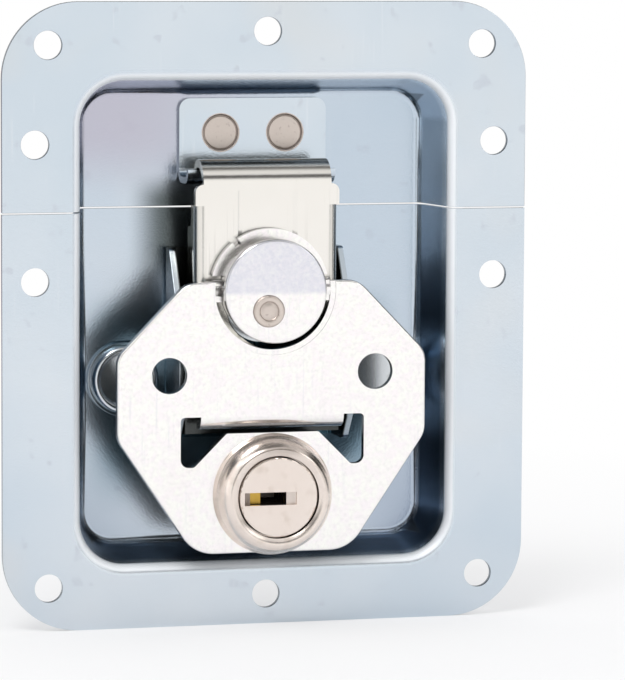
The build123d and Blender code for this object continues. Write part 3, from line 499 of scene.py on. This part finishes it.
# The hook is painted darker olive towards its lower end, as painted shade.
olive = hook.ramp(below * -30.0 + patches * 0.4, (0.5, 0.0), (0.95, 0.45))
shaded = hook.mix(olive, rubbed, paint(196, 190, 168))
# Parts of the hook set back into the case are painted dark, as painted shade.
recess_shade = hook.along("Y", 0.0, 2.5) * 0.8
edged = hook.mix(hook.cut_edge() * 0.6, shaded, paint(150, 146, 134))
hook.feed("Base Color", hook.mix(recess_shade, edged, paint(92, 90, 78)))
hook.feed("Roughness", 0.13 + patches * 0.12 + travel * 0.1)
hook.bump(hook.noise(hook.place(), 2600.0, 2.0) + travel, 0.00002, 0.3)
print("finish:", hook.material.name)

# %% [markdown]
# The rivets were closed after plating, so their ends are bare and faintly pink, with small
# hammer marks. The marks are a coarse bump, since they are only a few hundredths deep.

# %% Bare rivet ends
rivet = Finish("rivet_steel", 1.0)
patches = rivet.noise(rivet.place(), 420.0, 3.0, 0.55)
pits = rivet.ramp(rivet.noise(rivet.place(), 1500.0, 2.0), (0.62, 0.0), (0.72, 1.0))
pink = rivet.mix(patches, paint(208, 195, 186), paint(228, 218, 209))
dull = rivet.mix(pits * 0.5, pink, paint(172, 156, 150))
rivet.feed("Base Color", rivet.mix(rivet.cut_edge() * 0.75, dull, paint(112, 96, 90)))
rivet.feed("Roughness", 0.32 + patches * 0.2)
rivet.bump(patches - pits * 0.4, 0.00006, 0.5)
print("finish:", rivet.material.name)

# %% [markdown]
# The base, the shaft and the eyelets sit deep in the recess. They have a plain bright plating
# that has dulled in patches.

# %% Plated steel of the base, shaft and eyelets
plated = Finish("plated_steel", 1.0)
patches = plated.noise(plated.place(), 90.0, 3.0, 0.5)
stains = plated.ramp(plated.noise(plated.place(), 300.0, 3.0), (0.58, 0.0), (0.75, 0.5))
grey = plated.mix(patches, paint(200, 206, 210), paint(226, 229, 231))
stained = plated.mix(stains, grey, paint(168, 166, 158))
# The inside of the channel is painted nearly black on the base too, as painted shade.
channel_shade = plated.in_channel((-0.5, 1.0)) * 0.95
plated.feed("Base Color", plated.mix(channel_shade, stained, paint(62, 65, 66)))
plated.feed("Roughness", 0.14 + patches * 0.12 + stains * 0.2 + channel_shade * 0.2)
plated.bump(plated.noise(plated.place(), 2600.0, 2.0), 0.00002, 0.3)
print("finish:", plated.material.name)

# %% [markdown]
# The small spring is blued wire, and is seen only when the wing is folded out.

# %% Spring steel
spring = Finish("spring_steel", 1.0)
patches = spring.noise(spring.place(), 900.0, 2.0, 0.5)
spring.feed("Base Color", spring.mix(patches, paint(120, 120, 124), paint(168, 168, 170)))
spring.feed("Roughness", 0.3 + patches * 0.15)
spring.bump(patches, 0.00001, 0.3)
print("finish:", spring.material.name)

# %% [markdown]
# The lock was finished on a lathe, so it carries very fine rings round its own axis. A noise
# read only along the distance from that axis gives such rings, whatever the shape under them.

# %% Satin nickel on the lock
nickel = Finish("lock_nickel", 1.0)
patches = nickel.noise(nickel.place(), 140.0, 3.0, 0.5)
LOCK_AXIS = (0.0, 0.0, 51.5 * MM)
flat = nickel.place(scale=(1.0, 0.0, 1.0), shift=LOCK_AXIS)
ring = nickel.add("ShaderNodeVectorMath", {"operation": "LENGTH"}, {0: flat}, 1)
ring_place = nickel.add("ShaderNodeCombineXYZ", {}, {0: ring})
rings = nickel.noise(ring_place, 3400.0, 2.0, 0.6)
grain = nickel.noise(nickel.place(), 3800.0, 2.0)
warm = nickel.mix(patches, paint(230, 216, 206), paint(243, 233, 225))
touched = nickel.ramp(nickel.noise(nickel.place(), 380.0, 3.0), (0.56, 0.0), (0.72, 0.4))
worn = nickel.mix(touched, warm, paint(206, 190, 176))
soft = {"interpolation_type": "SMOOTHSTEP"}
bore = {0: ring, 1: 7.3 * MM, 2: 7.44 * MM, 3: 1.0, 4: 0.0}
within = nickel.add("ShaderNodeMapRange", soft, bore)
# Inside the bore, the keyway and the gap round the plug are painted nearly black, as painted
# shade.
keyway_shade = within * nickel.between("Y", (-10.0, -9.6), (-1.0, 0.5))
# The top and the left of the bezel are painted darker in patches, as painted shade.
top_left_shade = nickel.along("Z", -44.6, -42.4) + nickel.until("X", -10.8, -9.4) * 0.8
top_left_shade = top_left_shade * nickel.ramp(patches, (0.35, 0.25), (0.6, 0.75))
top_left_shaded = nickel.mix(top_left_shade, worn, paint(138, 126, 117))
nickel.feed("Base Color", nickel.mix(keyway_shade * 0.97, top_left_shaded, paint(30, 27, 24)))
nickel.feed("Roughness", 0.17 + patches * 0.08 + rings * 0.08 + keyway_shade * 0.4)
nickel.bump(rings + grain * 0.5, 0.00002, 0.4)
print("finish:", nickel.material.name)

# %% [markdown]
# The wafers inside the plug are plain brass, and one of them shows in the keyway.

# %% Brass wafers
brass = Finish("wafer_brass", 1.0)
patches = brass.noise(brass.place(), 500.0, 2.0, 0.5)
brass.feed("Base Color", brass.mix(patches, paint(186, 148, 60), paint(222, 186, 96)))
brass.feed("Roughness", 0.28 + patches * 0.15)
brass.bump(patches, 0.00002, 0.3)
print("finish:", brass.material.name)

# %% [markdown]
# Every piece that is shown needs the same last steps: smooth shading across small angles, its
# finish, the body that it rides on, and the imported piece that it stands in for. One helper does
# them all, so that none is forgotten. The Weighted Normal modifier keeps a large flat face flat
# beside its small roundings. The hook's pressed channel is shallow, so it is smoothed less.

# %% Dressing bench
FINISHES = {
    "dish_zinc": dish,
    "bright_zinc": bright,
    "hook_zinc": hook,
    "rivet_steel": rivet,
    "plated_steel": plated,
    "spring_steel": spring,
    "lock_nickel": nickel,
    "wafer_brass": brass,
}
SLOT_OF = {row["node"]: row["material_slot"] for row in frame["record"]["subparts"]}
BODY_OF = {}
for body, nodes in frame["record"]["behaviour"]["bodies"].items():
    for node in nodes:
        BODY_OF[node] = body
SMOOTH_ANGLE = 32
SHARPER = {"hook_plate": 14.5}
FACE_AREA_WEIGHT = 100


def dress(piece, node):
    """Smooths a piece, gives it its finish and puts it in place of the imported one."""
    bpy.ops.object.shade_smooth_by_angle(angle=math.radians(SHARPER.get(node, SMOOTH_ANGLE)))
    level = piece.modifiers.new("flat_stays_flat", "WEIGHTED_NORMAL")
    level.keep_sharp = True
    level.weight = FACE_AREA_WEIGHT
    bpy.ops.object.modifier_apply(modifier=level.name)
    mesh = piece.data
    mesh.materials.clear()
    mesh.materials.append(FINISHES[SLOT_OF[node]].material)
    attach(piece, BODY_OF[node])
    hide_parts(node)
    return piece


print("the dressing bench is ready")

# %% [markdown]
# Rivets, eyelets, the cam's cap and the lock's bezel are turned or rolled, and their edges are
# rounder than those of the solid model. Each is drawn again the way a lathe would cut it: a
# small circle, then ring after ring, each pushed along the axis and widened. The Screw modifier
# would also do, but here every step of a profile stays readable as a radius and a depth.

# %% Lathe
RING_POINTS = 96
RING_MERGE = 0.0002 * MM


def turn_piece(node, x, z, profile, hollow=False):
    """A turned piece through (radius, distance in front of the flange) steps in millimetres."""
    radius, out = profile[0]
    fill = "NOTHING" if hollow else "NGON"
    bpy.ops.object.select_all(action="DESELECT")
    bpy.ops.mesh.primitive_circle_add(vertices=RING_POINTS, radius=radius * MM, fill_type=fill)
    piece = bpy.context.object
    piece.name = node + "_shown"
    bpy.ops.object.mode_set(mode="EDIT")
    bpy.ops.mesh.select_all(action="SELECT")
    bpy.ops.transform.rotate(value=math.radians(90), orient_axis="X", center_override=(0, 0, 0))
    bpy.ops.transform.translate(value=(x * MM, -out * MM, z * MM))
    for next_radius, next_out in profile[1:]:
        move = {"value": (0, (out - next_out) * MM, 0)}
        bpy.ops.mesh.extrude_region_move(TRANSFORM_OT_translate=move)
        growth = next_radius / radius
        bpy.ops.transform.resize(value=(growth, 1, growth))
        radius, out = next_radius, next_out
    bpy.ops.mesh.select_all(action="SELECT")
    bpy.ops.mesh.remove_doubles(threshold=RING_MERGE)
    bpy.ops.mesh.normals_make_consistent(inside=False)
    bpy.ops.object.mode_set(mode="OBJECT")
    return dress(piece, node)


print("a ring has", RING_POINTS, "points")

# %% [markdown]
# The profiles are written in millimetres, from the middle of the front outwards and then back
# along the outside. The bezel is a closed loop, because it is bored through for the plug. Its
# crown is a rounded quarter, a little fuller than a circle's, worked out in even steps.

# %% Turned pieces
SWELL = 2 / 1.8
SWELL_STEPS = 16
CROWN, CROWN_WIDE, SHOULDER, SHOULDER_HIGH = 8.6, 2.1, 7.1, 4.1
bezel = [(6.4, 9.0), (7.5, 9.0), (7.5, 10.5), (7.58, 10.66), (7.75, 10.76), (8.1, 10.98)]
for step in range(SWELL_STEPS + 1):
    turn_angle = math.radians(90 - step * 90 / SWELL_STEPS)
    across = math.cos(turn_angle) ** SWELL if step else 0.0
    rise = max(math.sin(turn_angle), 0.0) ** SWELL
    bezel.append((CROWN + CROWN_WIDE * across, SHOULDER + SHOULDER_HIGH * rise))
bezel += [(10.74, 6.9), (10.86, 6.6), (11.0, 6.4), (11.12, 6.1), (11.2, 5.9), (7.5, 5.9)]
bezel += [(7.5, -3.4), (6.4, -3.4), (6.4, 9.0)]
cap = [(0.5, 8.4), (3.0, 8.39), (6.0, 8.36), (8.4, 8.30), (9.1, 8.24), (9.35, 8.13)]
cap += [(9.46, 7.98), (9.5, 7.78), (9.5, 6.8), (9.4, 6.66), (9.2, 6.6), (0.5, 6.6)]
crank = [(0.3, 8.8), (0.8, 8.77), (1.2, 8.69), (1.45, 8.58), (1.6, 8.55), (1.72, 8.62)]
crank += [(1.82, 8.8), (2.0, 8.88), (2.3, 8.9), (2.6, 8.86), (2.8, 8.76), (2.92, 8.6)]
crank += [(2.95, 8.4), (1.5, 8.4), (1.5, 0.3)]
strike_end = [(0.4, -10.42), (2.7, -10.42), (2.95, -10.46), (3.08, -10.6), (3.16, -10.62)]
strike_end += [(3.24, -10.48), (3.36, -10.34), (3.5, -10.28), (3.6, -10.29), (3.6, -10.5)]
strike_end += [(3.15, -10.9), (3.15, -12.7), (4.7, -12.7), (4.66, -13.3), (4.3, -13.75)]
strike_end += [(3.7, -14.0)]
eyelet = [(0.5, -11.5), (4.55, -11.5), (4.7, -11.35), (4.7, -9.35), (4.76, -9.1), (4.95, -8.9)]
eyelet += [(5.25, -8.8), (5.6, -8.82), (5.95, -8.97), (6.2, -9.25), (6.3, -9.6), (6.26, -10.0)]
eyelet += [(6.1, -10.3), (5.3, -10.3), (5.3, -12.7), (6.3, -12.7), (6.24, -13.4), (5.9, -14.2)]
eyelet += [(4.7, -14.2), (4.7, -12.1), (0.5, -12.1)]
TURNED = {
    "lock_housing": (0.0, -51.5, bezel, True),
    "cam_disc": (0.0, -14.2, cap),
    "crank_rivet": (-1.4174, -17.7257, crank),
    "strike_rivet_left": (-6.1, 13.65, strike_end),
    "strike_rivet_right": (6.1, 13.65, strike_end),
    "base_eyelet_left": (-24.2, -31.7, eyelet),
    "base_eyelet_right": (24.2, -31.7, eyelet),
}
for name, cut in TURNED.items():
    shown = turn_piece(name, *cut)
    print(name, "->", len(shown.data.polygons), "faces")

# %% [markdown]
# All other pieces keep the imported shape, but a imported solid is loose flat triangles, and its
# round edges would show facets. A new mesh could be modelled for each. A merged copy, smoothed
# wherever two faces meet at a small angle, keeps the true shape and costs nothing. Pieces of
# sheet also get a very small bevel on their cut edges. Tumbled and plated sheet never has a
# knife edge, and the bevel draws a fine line of light round it.

# %% A smooth copy
MERGE = 0.002 * MM
FLAT_ANGLE = math.radians(0.05)
WORN_EDGE = 0.12 * MM
WORN_ANGLE = math.radians(50)
SHEET_PIECES = ("hook_plate", "latch_base", "lower_dish", "upper_dish", "wing")


def smooth_copy(node):
    """A merged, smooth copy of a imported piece, which stands in for it."""
    source = frame["nodes"][node]
    mesh = source.data.copy()
    copy = bpy.data.objects.new(node + "_shown", mesh)
    bpy.context.scene.collection.objects.link(copy)
    bpy.ops.object.select_all(action="DESELECT")
    copy.select_set(True)
    bpy.context.view_layer.objects.active = copy
    bpy.ops.object.mode_set(mode="EDIT")
    bpy.ops.mesh.select_all(action="SELECT")
    bpy.ops.mesh.remove_doubles(threshold=MERGE)
    bpy.ops.mesh.dissolve_limited(angle_limit=FLAT_ANGLE)
    bpy.ops.object.mode_set(mode="OBJECT")
    if node in SHEET_PIECES:
        worn = copy.modifiers.new("worn_edge", "BEVEL")
        worn.width = WORN_EDGE
        worn.segments = 2
        worn.limit_method = "ANGLE"
        worn.angle_limit = WORN_ANGLE
        bpy.ops.object.modifier_apply(modifier=worn.name)
    return dress(copy, node)


print("sheet pieces with a worn edge:", len(SHEET_PIECES))

# %% [markdown]
# The names are sorted, so that the pieces come in the same order every time.

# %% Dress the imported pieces
for name in sorted(set(frame["nodes"]) - set(TURNED)):
    shown = smooth_copy(name)
    print(name, "->", len(shown.data.polygons), "faces")

# %% [markdown]
# The lesson ends.

# %% The end
print("the lesson ends")
